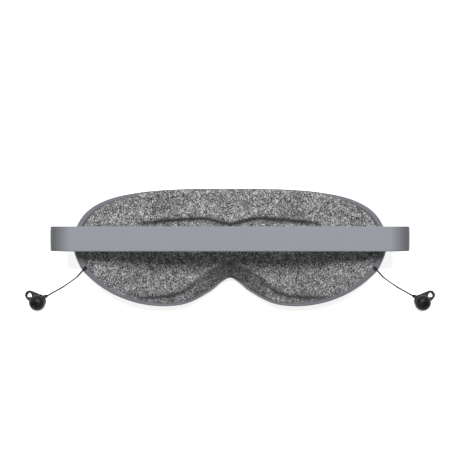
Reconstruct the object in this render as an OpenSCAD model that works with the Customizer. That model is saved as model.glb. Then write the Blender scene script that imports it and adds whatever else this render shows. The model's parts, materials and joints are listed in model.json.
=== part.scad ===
// Eye massager mask with a head strap and two wired earbuds, lying on its front cover.
// X runs from the wearer's left to the wearer's right, Y from the cheeks to the forehead,
// and Z from the front cover up to the face pad. Millimetres throughout.
// The mask is a tray bent round the Y axis, so its curved layers are cut from long drums along Y.

/* [Mask] */
// Radius of the front cover's bend
cover_r = 150; // [146:1:156]
// How much the leather gives where the mask lies on its front
rest_flat = 0.5; // [0.3:0.1:0.6]
// Thickness of the leather skin
skin_t = 1.2; // [1:0.1:1.3]
// Wall of the moulded shell
shell_t = 2; // [1.6:0.1:2.2]
// Height of the face pad's surface above the table at the nose bridge
face_z = 25; // [24:0.5:27]
// Thickness of the knitted face fabric
fabric_t = 1.2; // [0.8:0.1:1.3]
// Depth of each eye hollow
eye_depth = 7; // [6:0.5:7.5]
// Distance of each eye hollow's centre from the nose line
eye_x = 42; // [38:1:44]

/* [Strap] */
// Width of the elastic webbing
strap_w = 17; // [15:1:17]
// Thickness of the elastic webbing
strap_t = 1.4; // [1.2:0.1:1.4]
// Height of the strap's middle above the mask's centre line
strap_y = 7; // [5:1:8]
// How far the free span of the strap sags in the middle
strap_sag = 2; // [0:0.5:4]

/* [Earbuds] */
// Diameter of the silicone ear tip
tip_d = 12.2; // [11.6:0.2:12.4]
// Diameter of the earbud housing
bud_d = 9; // [8.8:0.1:9.2]
// Lean of the nozzle from the housing's axis
nozzle_lean = 20; // [18:1:23]
// Diameter of the earphone cord
cord_d = 1.1; // [0.9:0.1:1.2]

/* [Controls] */
// Diameter of the power button
power_d = 7; // [6:0.5:7.5]
// Diameter of each volume button
volume_d = 5.6; // [5:0.2:6]
// Distance between neighbouring buttons
button_pitch = 10.5; // [9.5:0.5:11]

/* [Hidden] */
$fn = 48;

big_fn = 240;
far = 140;                              // longer than anything in the mask
cover_c = cover_r - rest_flat;          // height of the front cover's bend axis
face_r = 209;                           // bend of the pad's surface
face_c = face_z + face_r;
floor_r = 180;                          // bend of the frame that carries the pad
floor_c = 14 + floor_r;
frame_t = 1.6;                          // thickness of that frame
frame_end_x = 91;                       // the frame stops short of the strap anchors
shell_in = skin_t + shell_t;            // depth of the shell's inside face below the skin
gap = 0.1;                              // clearance between parts laid together
film_gap = 0.05;

// Right half of the front cover's outline, from the forehead round to the nose notch
cover_half = [
    [0, 42.8], [36, 42.3], [65, 39.8], [88, 33.9], [103, 23], [109.6, 5.5], [105.4, -11.6],
    [97.6, -21.8], [85.5, -31.3], [71.8, -37.8], [57.8, -41.2], [43.5, -42], [29, -39.9],
    [14.5, -32.4], [7, -26.2], [0, -22.4]
];
// Right half of the face pad's outline, inset furthest at the temples
pad_half = [
    [0, 42], [36, 41.5], [65, 38.8], [86.8, 32.3], [100, 21.5], [105.6, 5], [102.3, -10.5],
    [96, -20.4], [84.3, -29.5], [71, -35.7], [57.3, -39.1], [43.5, -39.9], [29.8, -37.9],
    [15.6, -31.1], [7.9, -24.9], [0, -21.2]
];
curve_steps = 3;                        // straight steps between two outline points

// A smooth curve through p1 and p2, with p0 and p3 beside them
function spline(p0, p1, p2, p3, t) =
    0.5 * (2 * p1 + (p2 - p0) * t + (2 * p0 - 5 * p1 + 4 * p2 - p3) * t * t
    + (3 * p1 - p0 - 3 * p2 + p3) * t * t * t);
function mirrored(p) = [-p[0], p[1]];
function half_curve(h) = let (n = len(h)) [
    for (i = [0:n - 2], k = [0:curve_steps - 1])
        spline(i == 0 ? mirrored(h[1]) : h[i - 1], h[i], h[i + 1],
            i == n - 2 ? mirrored(h[n - 2]) : h[i + 2], k / curve_steps)
];
function closed_curve(h) = let (r = half_curve(h), n = len(r)) concat(
    r, [h[len(h) - 1]], [for (i = [n - 1:-1:1]) mirrored(r[i])]);
function unit(v) = v / norm(v);
// The closed, clockwise outline moved inwards by d
function inset(pts, d) = let (n = len(pts)) [
    for (i = [0:n - 1])
        let (along = unit(pts[(i + 1) % n] - pts[(i + n - 1) % n]))
        pts[i] + d * [along[1], -along[0]]
];
cover_line = closed_curve(cover_half);
pad_line = closed_curve(pad_half);

// A point at angle phi round the cover's bend, depth t under its skin
function on_cover(phi, y, t) =
    [(cover_r - t) * sin(phi), y, cover_c - (cover_r - t) * cos(phi)];

module prism(pts) translate([0, 0, -5]) linear_extrude(far) polygon(pts);
module drum(r, c) translate([0, 0, c]) rotate([90, 0, 0])
    cylinder(r = r, h = far, center = true, $fn = big_fn);
// Children stand at angle phi on the cover, with Z pointing inwards from depth t
module station(phi, y, t) translate([0, y, cover_c]) rotate([0, -phi, 0])
    translate([0, 0, t - cover_r]) children();
module on_side(side) mirror([side < 0 ? 1 : 0, 0, 0]) children();
module slab(size, z0, z1) translate([-size[0] / 2, -size[1] / 2, z0])
    cube([size[0], size[1], z1 - z0]);
// A flat plate with round ends, its length along Y
module pill(w, l, z0, z1) {
    slab([w, l - w], z0, z1);
    for (s = [-1, 1]) translate([0, s * (l - w) / 2, z0]) cylinder(d = w, h = z1 - z0);
}
// A bar with round sides, its length along Y and its width along X
module round_bar(w, h, y0, y1) translate([0, y1, 0]) rotate([90, 0, 0]) {
    translate([-(w - h) / 2, -h / 2, 0]) cube([w - h, h, y1 - y0]);
    for (s = [-1, 1]) translate([s * (w - h) / 2, 0, 0]) cylinder(d = h, h = y1 - y0);
}

// ---- Places that several parts share ----
screw_places = [[8, 33], [-8, 33], [24, 27], [-24, 27], [30.5, -20], [-30.5, -20], [0, -12]];
boss_r = 2.2;
screw_r = 0.8;
screw_l = 3.2;
head_r = 1.5;
panel_phi = 31;                         // the control panel's place round the cover
panel_y = 7;
panel_w = 11;
panel_l = 36;
button_y = [panel_y + button_pitch, panel_y, panel_y - button_pitch];
button_d = [volume_d, power_d, volume_d];
board_phi = 20;
board_y0 = -36.2;
board_y1 = -14.4;
board_t = 5.2;                          // depth of the main board's outer face
port_t = board_t + 2.7;                 // depth of the charging port's centre
port_y0 = -41.4;                        // the port's mouth
anchor_phi = 40;                        // the strap bars' place round the cover
bar_t = 2.6;
bar_r = 0.9;
window_s = [-3, 10];                    // the strap window along the cover, from the bar
motor_phi = 15;
motor_t = 7.5;
motor_y0 = 10;
motor_l = 11;
motor_r = 3;
sleeve_r = 3.7;
gland_p = [101.8, -13.8];
gland_r = 1.2;
lead_z = 43.6;                          // height at which a lead enters its gland

module gland_hole() for (side = [-1, 1]) on_side(side)
    translate([gland_p[0], gland_p[1], 42]) cylinder(r = gland_r + gap, h = 20);
module strap_window() for (side = [-1, 1]) on_side(side)
    station(anchor_phi, strap_y, 0)
        translate([window_s[0], -strap_w / 2 - 0.7, -4])
            cube([window_s[1] - window_s[0], strap_w + 1.4, 11]);
// Where the heaters' leads pass through the frame and the foam
leads_p = [54.5, 6.8];
module heater_leads_hole() for (side = [-1, 1]) on_side(side)
    translate([leads_p[0], leads_p[1], 0]) cylinder(r = 1.6, h = 60);
module port_hole(clear) station(board_phi, 0, port_t)
    round_bar(9 + 2 * clear, 3.2 + 2 * clear, -50, -36);

// ---- Outer layers ----
module cover_skin() color([0.6, 0.61, 0.65]) difference() {
    intersection() {
        prism(cover_line);
        drum(cover_r, cover_c);
        translate([-far, -far, 0]) cube([2 * far, 2 * far, far]);
    }
    drum(face_r, face_c);
    // Room for the shell
    difference() {
        intersection() {
            prism(inset(cover_line, skin_t));
            drum(cover_r - skin_t, cover_c);
        }
        drum(floor_r, floor_c);
    }
    // Room for the pad
    intersection() {
        prism(inset(pad_line, -gap));
        drum(floor_r, floor_c);
    }
    strap_window();
    port_hole(0.6);
    station(panel_phi, panel_y, 0) pill(panel_w + 0.2, panel_l + 0.2, -3, skin_t + 1);
    gland_hole();
}

module front_shell() color([0.3, 0.31, 0.33]) difference() {
    union() {
        difference() {
            intersection() {
                prism(inset(cover_line, skin_t));
                drum(cover_r - skin_t, cover_c);
            }
            intersection() {
                prism(inset(cover_line, shell_in));
                drum(cover_r - shell_in, cover_c);
            }
            drum(floor_r, floor_c);
        }
        // Screw bosses reach up to the frame
        for (p = screw_places) difference() {
            station(p[0], p[1], shell_in - 0.5) cylinder(r = boss_r, h = 12);
            drum(floor_r + frame_t, floor_c);
        }
        // Thick edges that hold the strap bars
        for (side = [-1, 1]) on_side(side)
            station(anchor_phi, strap_y, 0) slab([5, strap_w + 8], shell_in - 0.5, 4.6);
        // Cradles under the motors
        for (side = [-1, 1], y = [motor_y0 + 2, motor_y0 + 8]) on_side(side) difference() {
            station(motor_phi, y, 0) slab([7, 1.2], shell_in - 0.5, motor_t - 2);
            station(motor_phi, y, motor_t) rotate([90, 0, 0])
                cylinder(r = sleeve_r + 0.05, h = 4, center = true);
        }
    }
    for (p = screw_places) station(p[0], p[1], seat_depth(p[0]) - screw_l - 0.3)
        cylinder(r = screw_r, h = 12);
    strap_window();
    for (side = [-1, 1]) on_side(side) station(anchor_phi, strap_y, bar_t)
        rotate([90, 0, 0]) cylinder(r = bar_r, h = strap_w + 5.4, center = true);
    port_hole(0.1);
    for (i = [0:2]) station(panel_phi, button_y[i], 0)
        translate([0, 0, -2]) cylinder(d = button_d[i] + 0.2, h = 8);
    gland_hole();
    // The leads' ways into the glands
    for (side = [-1, 1]) on_side(side)
        translate([gland_p[0] - 4, gland_p[1], lead_z]) rotate([0, 90, 0]) cylinder(r = 0.7, h = 4);
}

module mid_frame() color([0.85, 0.85, 0.86]) difference() {
    intersection() {
        prism(inset(cover_line, shell_in + 0.2));
        drum(floor_r + frame_t, floor_c);
        translate([-frame_end_x, -far / 2, -5]) cube([2 * frame_end_x, far, far]);
    }
    drum(floor_r, floor_c);
    for (p = screw_places) station(p[0], p[1], seat_depth(p[0])) {
        translate([0, 0, -3]) cylinder(r = screw_r + gap, h = 4);
        cylinder(r = head_r + gap, h = 4);
    }
    heater_leads_hole();
}
// Depth under the skin, along the screw, of the seat for a screw's head
function seat_depth(phi) =
    let (b = (floor_c - cover_c) * cos(phi), c = pow(floor_c - cover_c, 2) - pow(floor_r, 2))
    cover_r - (-b + sqrt(b * b - c)) - 1;

module frame_screws() color([0.75, 0.75, 0.78]) for (p = screw_places)
    station(p[0], p[1], seat_depth(p[0])) {
        translate([0, 0, -screw_l]) cylinder(r = screw_r, h = screw_l);
        difference() {
            cylinder(r = head_r, h = 0.8);
            translate([0, 0, 0.4]) for (a = [0, 90]) rotate([0, 0, a]) slab([1.8, 0.4], 0, 1);
        }
    }

// ---- Face pad ----
eye_y = -8;
eye_r = 60;
nose_r = 30;
function face_height(x) = face_c - sqrt(face_r * face_r - x * x);
// Each hollow is sunk square to the face's bend
module eye_balls(grow) for (side = [-1, 1]) on_side(side)
    translate([eye_x, eye_y, face_height(eye_x)]) rotate([0, -asin(eye_x / face_r), 0])
        translate([0, 0, eye_r - eye_depth]) sphere(r = eye_r + grow, $fn = 96);
module nose_ball(grow) translate([0, -34, face_z + 22]) sphere(r = nose_r + grow, $fn = 96);
// The pad's body with its skin taken down by t, and its hollows by a further film
module pad_body(t, film) difference() {
    intersection() {
        prism(inset(pad_line, t));
        drum(floor_r, floor_c);
    }
    drum(face_r + t, face_c);
    eye_balls(t + film);
    nose_ball(t);
}
module face_fabric() color([0.35, 0.35, 0.36]) difference() {
    pad_body(0, 0);
    pad_body(fabric_t, 0);
    gland_hole();
}
module foam_pad() color([0.93, 0.91, 0.85]) difference() {
    pad_body(fabric_t + film_gap, 0.4);
    gland_hole();
    heater_leads_hole();
}
module heater_film(side) color([0.75, 0.5, 0.2]) difference() {
    intersection() {
        translate([side * eye_x, eye_y, 0]) cylinder(r = 18, h = 60);
        eye_balls(fabric_t + 0.35);
    }
    eye_balls(fabric_t + film_gap);
    translate([side * eye_x, eye_y, face_height(eye_x)]) cylinder(r = 30, h = 60);
}

// ---- Electronics ----
module battery_cell() color([0.8, 0.82, 0.85]) station(-board_phi, -17, 0) {
    slab([34, 26], 4.6, 9.6);
    translate([0, 13.5, 0]) slab([20, 1], 5.6, 8.6);
}
module main_board() color([0.05, 0.35, 0.2]) station(board_phi, 0, board_t) difference() {
    translate([-15, board_y0, 0]) cube([30, board_y1 - board_y0, 1]);
    for (s = [-1, 1]) translate([s * 13, board_y1 - 2, -1]) cylinder(r = 0.8, h = 3);
}
module board_chips() color([0.08, 0.08, 0.09]) station(board_phi, 0, board_t + 1) {
    translate([-4, -24, 0]) slab([6, 6], 0, 0.9);
    translate([6, -21, 0]) slab([4, 4], 0, 0.8);
    translate([-11, -19, 0]) slab([3, 5], 0, 1.4);
    translate([-11, -31, 0]) slab([4, 6], 0, 2);
    for (i = [0:4]) translate([1 + 2.4 * i, -29, 0]) slab([1, 1.8], 0, 0.5);
    for (i = [0:3]) translate([8 + 1.6 * i, -34, 0]) slab([0.9, 1.6], 0, 0.6);
}
module usb_shell() color([0.78, 0.78, 0.8]) station(board_phi, 0, port_t) difference() {
    round_bar(9, 3.2, port_y0, port_y0 + 7);
    round_bar(8.4, 2.6, port_y0 - 1, port_y0 + 6.4);
}
module usb_tongue() color([0.1, 0.1, 0.11]) station(board_phi, 0, port_t)
    translate([-3.3, port_y0 + 1.2, -0.35]) cube([6.6, 5.2, 0.7]);

module control_bezel() color([0.15, 0.15, 0.17]) difference() {
    station(panel_phi, panel_y, 0) pill(panel_w, panel_l, -0.4, skin_t - gap);
    for (i = [0:2]) station(panel_phi, button_y[i], 0)
        translate([0, 0, -2]) cylinder(d = button_d[i] + 0.3, h = 8);
    station(panel_phi, led_y, -2) cylinder(r = 0.75, h = 6);
}
led_y = panel_y + button_pitch / 2 + 0.4;
module status_led_lens() color([0.9, 0.95, 0.9]) station(panel_phi, led_y, 0)
    translate([0, 0, -0.35]) cylinder(r = 0.7, h = skin_t + 0.3);
// A button's cap stands proud, and its flange stops it under the shell
module push_button(i) station(panel_phi, button_y[i], 0) {
    translate([0, 0, -0.7]) cylinder(d1 = button_d[i] - 0.6, d2 = button_d[i], h = 0.3);
    translate([0, 0, -0.4]) cylinder(d = button_d[i], h = shell_in + 0.6);
    translate([0, 0, shell_in + 0.15]) cylinder(d = button_d[i] + 2, h = 0.8);
}
module volume_up_button() color([0.2, 0.2, 0.22]) push_button(0);
module power_button() color([0.2, 0.2, 0.22]) push_button(1);
module volume_down_button() color([0.2, 0.2, 0.22]) push_button(2);
switch_t = 4.8;
module tact_switches() color([0.7, 0.7, 0.72]) for (i = [0:2])
    station(panel_phi, button_y[i], switch_t) {
        cylinder(d = 2, h = 0.6);
        slab([4.2, 4.2], 0.4, 1.2);
    }
module button_board() color([0.05, 0.35, 0.2]) station(panel_phi, panel_y, 0)
    slab([8, 31], switch_t + 1.2, switch_t + 2);

// ---- Vibration motors ----
module motor_axis(side) on_side(side) station(motor_phi, motor_y0, motor_t)
    rotate([-90, 0, 0]) children();
module motor_can(side) color([0.8, 0.8, 0.82]) motor_axis(side) difference() {
    cylinder(r = motor_r, h = motor_l);
    translate([0, 0, motor_l - 6]) cylinder(r = 0.56, h = 7);
}
module motor_sleeve(side) color([0.12, 0.12, 0.13]) motor_axis(side) difference() {
    translate([0, 0, 1]) cylinder(r = sleeve_r, h = motor_l - 2);
    translate([0, 0, -1]) cylinder(r = motor_r, h = motor_l + 2);
}
module motor_weight(side) color([0.7, 0.65, 0.5]) motor_axis(side) {
    translate([0, 0, motor_l - 5]) cylinder(r = 0.5, h = 9.6);
    translate([0, 0, motor_l + 0.5]) intersection() {
        cylinder(r = 2.6, h = 4);
        translate([-4, -0.8, 0]) cube([8, 8, 4]);
    }
}

// ---- Cords and wires ----
// A tube of the given diameter round a list of points
tube_sides = 8;
function tangent(p, i) = unit(p[min(i + 1, len(p) - 1)] - p[max(i - 1, 0)]);
function tube_ring(p, i, d) = let (
        t = tangent(p, i),
        u = unit(cross(t, abs(t[2]) > 0.9 ? [0, 1, 0] : [0, 0, 1])),
        v = cross(t, u)
    ) [for (k = [0:tube_sides - 1]) p[i] + d / 2 * (
        cos(360 * k / tube_sides) * u + sin(360 * k / tube_sides) * v)];
module tube(p, d) {
    n = len(p);
    m = tube_sides;
    polyhedron(
        [for (i = [0:n - 1]) each tube_ring(p, i, d)],
        concat(
            [[for (k = [0:m - 1]) k]],
            [for (i = [0:n - 2], k = [0:m - 1])
                [i * m + k, (i + 1) * m + k, (i + 1) * m + (k + 1) % m, i * m + (k + 1) % m]],
            [[for (k = [m - 1:-1:0]) (n - 1) * m + k]]
        )
    );
}
// A smooth run of points through a list
function smooth(p, steps) = let (n = len(p)) concat(
    [for (i = [0:n - 2], k = [0:steps - 1])
        spline(i == 0 ? 2 * p[0] - p[1] : p[i - 1], p[i], p[i + 1],
            i == n - 2 ? 2 * p[n - 1] - p[n - 2] : p[i + 2], k / steps)],
    [p[n - 1]]);

// The right cord's route: out of its gland, over the rim, down to the table and along it
cord_route = [
    [102.8, -14.9, 54.2], [104, -16.3, 54.6], [105.6, -18, 54.1], [107.4, -19.7, 51.6],
    [109.4, -21.1, 47], [111.5, -22.2, 40.6], [113.6, -23.2, 33], [115.8, -24.3, 24.8],
    [118.3, -25.6, 16.8], [121.3, -27.2, 9.8], [124.6, -29.1, 4.6], [128.1, -31.1, 1.6],
    [131.6, -33, 0.8], [134.8, -34.8, 1.3], [137.6, -36.4, 2.1]
];
module ear_cord(side) color([0.08, 0.08, 0.09]) on_side(side) tube(smooth(cord_route, 3), cord_d);
gland_z = 53.2;                         // height of the gland's dome
module cord_gland(side) color([0.07, 0.07, 0.08]) on_side(side)
    translate([gland_p[0], gland_p[1], 0]) difference() {
        union() {
            translate([0, 0, 43]) cylinder(r = gland_r, h = gland_z - 43);
            translate([0, 0, gland_z]) sphere(r = gland_r);
            translate([0, 0, gland_z]) rotate([0, 0, -47.5]) rotate([0, 56, 0])
                cylinder(r1 = gland_r, r2 = 0.8, h = 1.8);
        }
        translate([0, 0, 42]) cylinder(r = 0.5, h = 5);
    }

wire_d = 0.9;
wire_routes = [
    // Main board to the right earphone gland
    [on_cover(25, -16.6, 6), on_cover(31, -15.6, 5.6), on_cover(36, -15, 4.3), on_cover(40, -14, 4.3),
        [gland_p[0] - 1.2, gland_p[1], lead_z]],
    // Main board across the nose bridge to the left earphone gland
    [on_cover(13.2, -15, 6.5), on_cover(8, -4, 7), on_cover(0, 0, 8), on_cover(-12, 4, 8),
        on_cover(-24, 2, 6.4), on_cover(-34, -8, 4.4), on_cover(-40, -13.4, 4.3),
        [-gland_p[0] + 1.2, gland_p[1], lead_z]],
    // Battery to the main board
    [on_cover(-12.6, -17, 7), on_cover(-6, -6, 6), on_cover(4, -6, 6), on_cover(13.2, -17.6, 6)],
    // Main board to the motors
    [on_cover(15, -13.6, 6), on_cover(15.5, 0, 6.4), on_cover(15, 9.4, 7)],
    [on_cover(13.6, -13.6, 8), on_cover(6, 2, 9), on_cover(-6, 5, 9), on_cover(-15, 9.4, 8)],
    // Main board to the button board
    [on_cover(24.5, -13.6, 6), on_cover(27, -10.5, 6.2), on_cover(29, -9.2, 6.4)],
    // Main board to the heaters
    [on_cover(21, -13.7, 6.2), on_cover(22, -6, 7), on_cover(22, 3, 7.5),
        [leads_p[0], leads_p[1], 18.6], [leads_p[0], leads_p[1], 21.6], [leads_p[0], leads_p[1], 24.4]],
    [on_cover(16.6, -13.7, 7.8), on_cover(9, -1, 6), on_cover(0, 3.4, 6), on_cover(-12, 6.8, 6),
        on_cover(-18, 6.4, 6), [-leads_p[0], leads_p[1], 18.6], [-leads_p[0], leads_p[1], 21.6],
        [-leads_p[0], leads_p[1], 24.4]]
];
module wiring_harness() color([0.75, 0.12, 0.1])
    for (w = wire_routes) tube(smooth(w, 4), wire_d);

// ---- Strap ----
function bar_local(s, t) = let (p = on_cover(anchor_phi, 0, t))
    [p[0] + s * cos(anchor_phi), p[2] + s * sin(anchor_phi)];
function polar(phi, r) = [r * sin(phi), cover_c - r * cos(phi)];
// A strip of thickness t along a path in the XZ plane
function path_normal(p, i) = let (t = unit(p[min(i + 1, len(p) - 1)] - p[max(i - 1, 0)]))
    [-t[1], t[0]];
function strip(p, t) = concat(
    [for (i = [0:len(p) - 1]) p[i] + path_normal(p, i) * t / 2],
    [for (i = [len(p) - 1:-1:0]) p[i] - path_normal(p, i) * t / 2]);
function moved_out(p, d) = [for (i = [0:len(p) - 1]) p[i] + path_normal(p, i) * d];
module webbing(p, t, w) translate([0, strap_y + w / 2, 0]) rotate([90, 0, 0])
    linear_extrude(w) polygon(strip(p, t));

run_phi = 46;                           // the side run leaves the cover at this angle
run_r = cover_r + 0.5 + strap_t / 2;
run_l = 14;                           // straight length of the side run
turn_r = 16;
run_start = polar(run_phi, run_r);
run_dir = [cos(run_phi), sin(run_phi)];
run_end = run_start + run_l * run_dir;
turn_c = run_end + turn_r * [-run_dir[1], run_dir[0]];
loop_r = bar_r + 0.05 + strap_t / 2;
top_z = turn_c[1] + turn_r;
side_run = [for (a = [0:0.25:1]) run_start + a * run_l * run_dir];
// The strap's right half, from the middle of its free span to the fold behind the bar
strap_half = concat(
    [for (x = [0:13.25:104]) [x, top_z - strap_sag * (1 - pow(x / turn_c[0], 2))]],
    [for (a = [90:-13.4:-30]) turn_c + turn_r * [cos(a), sin(a)]],
    [for (i = [4:-1:0]) side_run[i]],
    [polar(45, run_r), polar(44.2, run_r), polar(43.2, cover_r + 0.5), polar(42.2, cover_r - 1.2),
        polar(41.3, cover_r - 2.8), polar(40.6, cover_r - 3.9)],
    [for (a = [90:30:270]) bar_local(loop_r * cos(a), bar_t + loop_r * sin(a))]
);
strap_path = concat(
    [for (i = [len(strap_half) - 1:-1:1]) [-strap_half[i][0], strap_half[i][1]]], strap_half);
module head_strap() color([0.62, 0.63, 0.66]) webbing(strap_path, strap_t, strap_w);
module strap_bar(side) color([0.75, 0.75, 0.78]) on_side(side)
    station(anchor_phi, strap_y, bar_t) rotate([90, 0, 0])
        cylinder(r = bar_r, h = strap_w + 5.4, center = true);

patch_t = 0.7;
patch_w = strap_w - 3;
patch_run = [for (a = [0.04:0.16:0.84]) run_start + a * run_l * run_dir];
hook_run = [for (a = [0.04:0.16:0.68]) run_start + a * run_l * run_dir];
tab_out = -(strap_t + 2 * patch_t + 0.3);
tab_root = bar_local(0.95, 0.95);
tab_path = concat(
    [tab_root, polar(41.4, cover_r + 0.8), polar(42.6, cover_r + 2.4), polar(44, cover_r + 3.9),
        polar(45, run_r + 2.9)],
    moved_out([for (a = [0:0.2:0.8]) run_start + a * run_l * run_dir], tab_out)
);
module loop_patch(side) color([0.5, 0.51, 0.54]) on_side(side)
    webbing(moved_out(patch_run, -(strap_t + patch_t) / 2), patch_t, patch_w);
module hook_patch(side) color([0.3, 0.31, 0.33]) on_side(side)
    webbing(moved_out(hook_run, tab_out + (strap_t + patch_t) / 2), patch_t, patch_w);
module strap_tab(side) color([0.62, 0.63, 0.66]) on_side(side) {
    webbing(tab_path, strap_t, strap_w);
    translate([tab_root[0], strap_y, tab_root[1]]) rotate([90, 0, 0])
        cylinder(d = strap_t, h = strap_w, center = true);
}

// ---- Earbuds: the housing stands on its cap and the nozzle leans outwards ----
bud_p = [143.8, -40.5];
bud_r = bud_d / 2;
lean_way = -57;                         // compass angle of the nozzle's lean, from +X
cap_t = 0.8;
body_top = 5.8;
nozzle_z = 5;                           // height of the nozzle's root
nozzle_l = 6;
nozzle_r = 2.2;
stub_z = 2.1;
stub_way = 160;                         // compass angle of the cord's stub
stub_from = [-2.2, 2.6];
module bud_frame(side) on_side(side) translate([bud_p[0], bud_p[1], 0]) children();
module nozzle_frame(side) bud_frame(side) translate([0, 0, nozzle_z])
    rotate([0, 0, lean_way]) rotate([0, nozzle_lean, 0]) children();
module stub_frame(side) bud_frame(side) translate([stub_from[0], stub_from[1], stub_z])
    rotate([0, 0, stub_way]) rotate([0, 90, 0]) children();

module bud_cap(side) color([0.06, 0.06, 0.07]) bud_frame(side) {
    cylinder(r1 = bud_r - 0.3, r2 = bud_r, h = 0.3);
    translate([0, 0, 0.3]) cylinder(r = bud_r, h = cap_t - 0.3);
    translate([0, 0, cap_t]) cylinder(r = bud_r - 0.95, h = 0.4);
}
module bud_housing(side) color([0.07, 0.07, 0.08]) difference() {
    union() {
        bud_frame(side) rotate_extrude() polygon([
            [0, cap_t], [bud_r, cap_t], [bud_r, body_top - 1], [bud_r - 0.9, body_top], [0, body_top]
        ]);
        nozzle_frame(side) {
            cylinder(r = nozzle_r, h = nozzle_l);
            translate([0, 0, 0.3]) cylinder(r1 = 3.2, r2 = nozzle_r, h = 1.7);
        }
        stub_frame(side) cylinder(r = 1.25, h = 2.6);
    }
    bud_frame(side) translate([0, 0, -1]) cylinder(r = bud_r - 0.9, h = body_top + 0.2);
    nozzle_frame(side) translate([0, 0, -1]) cylinder(r = 1.4, h = nozzle_l + 2);
    stub_frame(side) cylinder(r = 0.9, h = 3);
}
module bud_driver(side) color([0.6, 0.5, 0.3]) bud_frame(side) {
    translate([0, 0, 3.2]) cylinder(r = bud_r - 1, h = 0.9);
    translate([0, 0, 4.1]) cylinder(r = bud_r - 1.8, h = 0.6);
}
// Strain relief that plugs into the housing's stub
module cord_boot(side) color([0.06, 0.06, 0.07]) stub_frame(side) {
    translate([0, 0, 1.1]) cylinder(r = 0.85, h = 1.5);
    translate([0, 0, 2.6]) cylinder(r = 1.35, h = 0.6);
    translate([0, 0, 3.2]) cylinder(r1 = 1.1, r2 = 0.75, h = 1.05);
}
// A soft ring round the housing carries the teardrop loop that braces in the ear
wing_way = 33;
wing_reach = 8.3;
wing_r = 3.6;
wing_t = 1.7;
ring_r = bud_r + 0.85;
ring_z = 3.5;
module ear_wing(side) color([0.08, 0.08, 0.09]) bud_frame(side) difference() {
    union() {
        translate([0, 0, ring_z]) cylinder(r = ring_r, h = 1.1);
        translate([0, 0, ring_z - 0.7]) rotate([0, 0, wing_way]) {
            linear_extrude(wing_t) polygon(wing_flanks);
            translate([wing_reach, 0, 0]) cylinder(r = wing_r, h = wing_t);
        }
    }
    translate([0, 0, 1]) cylinder(r = bud_r + 0.05, h = 6);
    translate([0, 0, ring_z - 1.7]) rotate([0, 0, wing_way]) translate([wing_reach, 0, 0])
        intersection() {
            cylinder(r = 1.85, h = wing_t + 2);
            translate([-1.3, -3, 0]) cube([6, 6, wing_t + 2]);
        }
}
// Straight flanks between the ring and the loop, just inside their tangents
flank_a = acos((ring_r - wing_r) / wing_reach);
flank_in = 0.15;
wing_flanks = [for (c = [[0, ring_r, 1], [wing_reach, wing_r, 1], [wing_reach, wing_r, -1],
    [0, ring_r, -1]])
    [c[0] + (c[1] - flank_in) * cos(flank_a), c[2] * (c[1] - flank_in) * sin(flank_a)]];
tip_r = tip_d / 2;
module ear_tip(side) color([0.05, 0.05, 0.06]) nozzle_frame(side) rotate_extrude() polygon([
    [nozzle_r + 0.05, 2.5], [2.9, 2.5], [2.9, 5.6], [tip_r - 1.9, 4.9], [tip_r - 0.9, 3.4],
    [tip_r - 0.8, 2.5], [tip_r - 0.15, 2.5], [tip_r, 3.2], [tip_r - 0.35, 4.6],
    [tip_r - 1.3, 6.2], [tip_r - 2.5, 7.2], [2.6, 7.7], [1.5, 7.6], [1.5, 6.2],
    [nozzle_r + 0.05, 6.2]
]);

cover_skin();
front_shell();
mid_frame();
foam_pad();
face_fabric();
heater_film(-1);  // heater_film_left
heater_film(1);  // heater_film_right
frame_screws();
battery_cell();
main_board();
board_chips();
usb_shell();
usb_tongue();
control_bezel();
power_button();
volume_up_button();
volume_down_button();
button_board();
tact_switches();
status_led_lens();
motor_can(-1);  // motor_can_left
motor_can(1);  // motor_can_right
motor_sleeve(-1);  // motor_sleeve_left
motor_sleeve(1);  // motor_sleeve_right
motor_weight(-1);  // motor_weight_left
motor_weight(1);  // motor_weight_right
wiring_harness();
head_strap();
strap_bar(-1);  // strap_bar_left
strap_bar(1);  // strap_bar_right
loop_patch(-1);  // loop_patch_left
loop_patch(1);  // loop_patch_right
strap_tab(-1);  // strap_tab_left
strap_tab(1);  // strap_tab_right
hook_patch(-1);  // hook_patch_left
hook_patch(1);  // hook_patch_right
cord_gland(-1);  // cord_gland_left
cord_gland(1);  // cord_gland_right
ear_cord(-1);  // ear_cord_left
ear_cord(1);  // ear_cord_right
cord_boot(-1);  // cord_boot_left
cord_boot(1);  // cord_boot_right
bud_housing(-1);  // bud_housing_left
bud_housing(1);  // bud_housing_right
bud_cap(-1);  // bud_cap_left
bud_cap(1);  // bud_cap_right
bud_driver(-1);  // bud_driver_left
bud_driver(1);  // bud_driver_right
ear_wing(-1);  // ear_wing_left
ear_wing(1);  // ear_wing_right
ear_tip(-1);  // ear_tip_left
ear_tip(1);  // ear_tip_right
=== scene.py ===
"""The looks of an eye massager mask: knit face pad, leather cover, elastic strap and wired earbuds.

Shapes are worked out in millimetres, in the row frame, and go into Blender in metres.
"""
import json
import math

import bmesh
import bpy
import numpy as np
from mathutils import Matrix, Vector


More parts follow.
